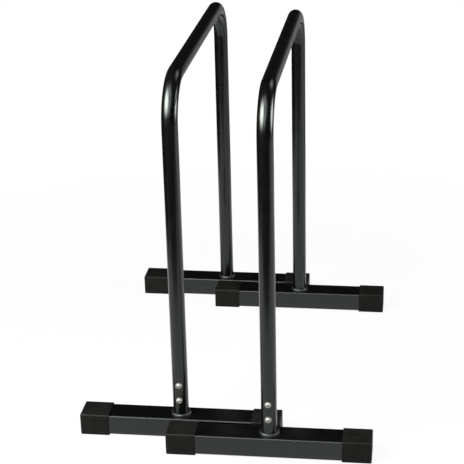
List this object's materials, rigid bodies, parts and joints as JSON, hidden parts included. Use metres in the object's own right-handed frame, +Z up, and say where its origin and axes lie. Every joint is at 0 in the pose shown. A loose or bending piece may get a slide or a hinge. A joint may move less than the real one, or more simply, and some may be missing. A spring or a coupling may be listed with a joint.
{
  "type": "parallette bars",
  "caption": "Pair of tall free-standing exercise bars, each a bent round steel tube bolted upright onto rectangular foot tubes with plastic end caps",
  "frame": {"origin": "on the floor, midway between the two bars", "axes": "+Z up; Y along the handles, with each bar's front foot at -Y; X along the feet, from the left bar to the right bar"},
  "size_m": [0.568, 0.751, 0.72],
  "materials": {
    "black_paint": "semi-gloss black coating on steel tube",
    "cap_plastic": "matt black moulded plastic",
    "screw_steel": "bright zinc-plated steel",
    "nut_steel": "plain steel"
  },
  "bodies": {
    "left_bar": {"left_handle_tube": "black_paint", "left_front_foot_beam": "black_paint", "left_front_spigot": "black_paint", "left_front_weld_bead": "black_paint", "left_front_screws": "screw_steel", "left_front_saddle_washers": "screw_steel", "left_front_weld_nuts": "nut_steel", "left_front_left_cap": "cap_plastic", "left_front_right_cap": "cap_plastic", "left_rear_foot_beam": "black_paint", "left_rear_spigot": "black_paint", "left_rear_weld_bead": "black_paint", "left_rear_screws": "screw_steel", "left_rear_saddle_washers": "screw_steel", "left_rear_weld_nuts": "nut_steel", "left_rear_left_cap": "cap_plastic", "left_rear_right_cap": "cap_plastic"},
    "right_bar": {"right_handle_tube": "black_paint", "right_front_foot_beam": "black_paint", "right_front_spigot": "black_paint", "right_front_weld_bead": "black_paint", "right_front_screws": "screw_steel", "right_front_saddle_washers": "screw_steel", "right_front_weld_nuts": "nut_steel", "right_front_left_cap": "cap_plastic", "right_front_right_cap": "cap_plastic", "right_rear_foot_beam": "black_paint", "right_rear_spigot": "black_paint", "right_rear_weld_bead": "black_paint", "right_rear_screws": "screw_steel", "right_rear_saddle_washers": "screw_steel", "right_rear_weld_nuts": "nut_steel", "right_rear_left_cap": "cap_plastic", "right_rear_right_cap": "cap_plastic"}
  },
  "joints": [
    {"name": "bar_spacing", "type": "slide", "parent": "left_bar", "child": "right_bar", "axis": [1, 0, 0], "range_m": [-0.14, 0.45]}
  ]
}
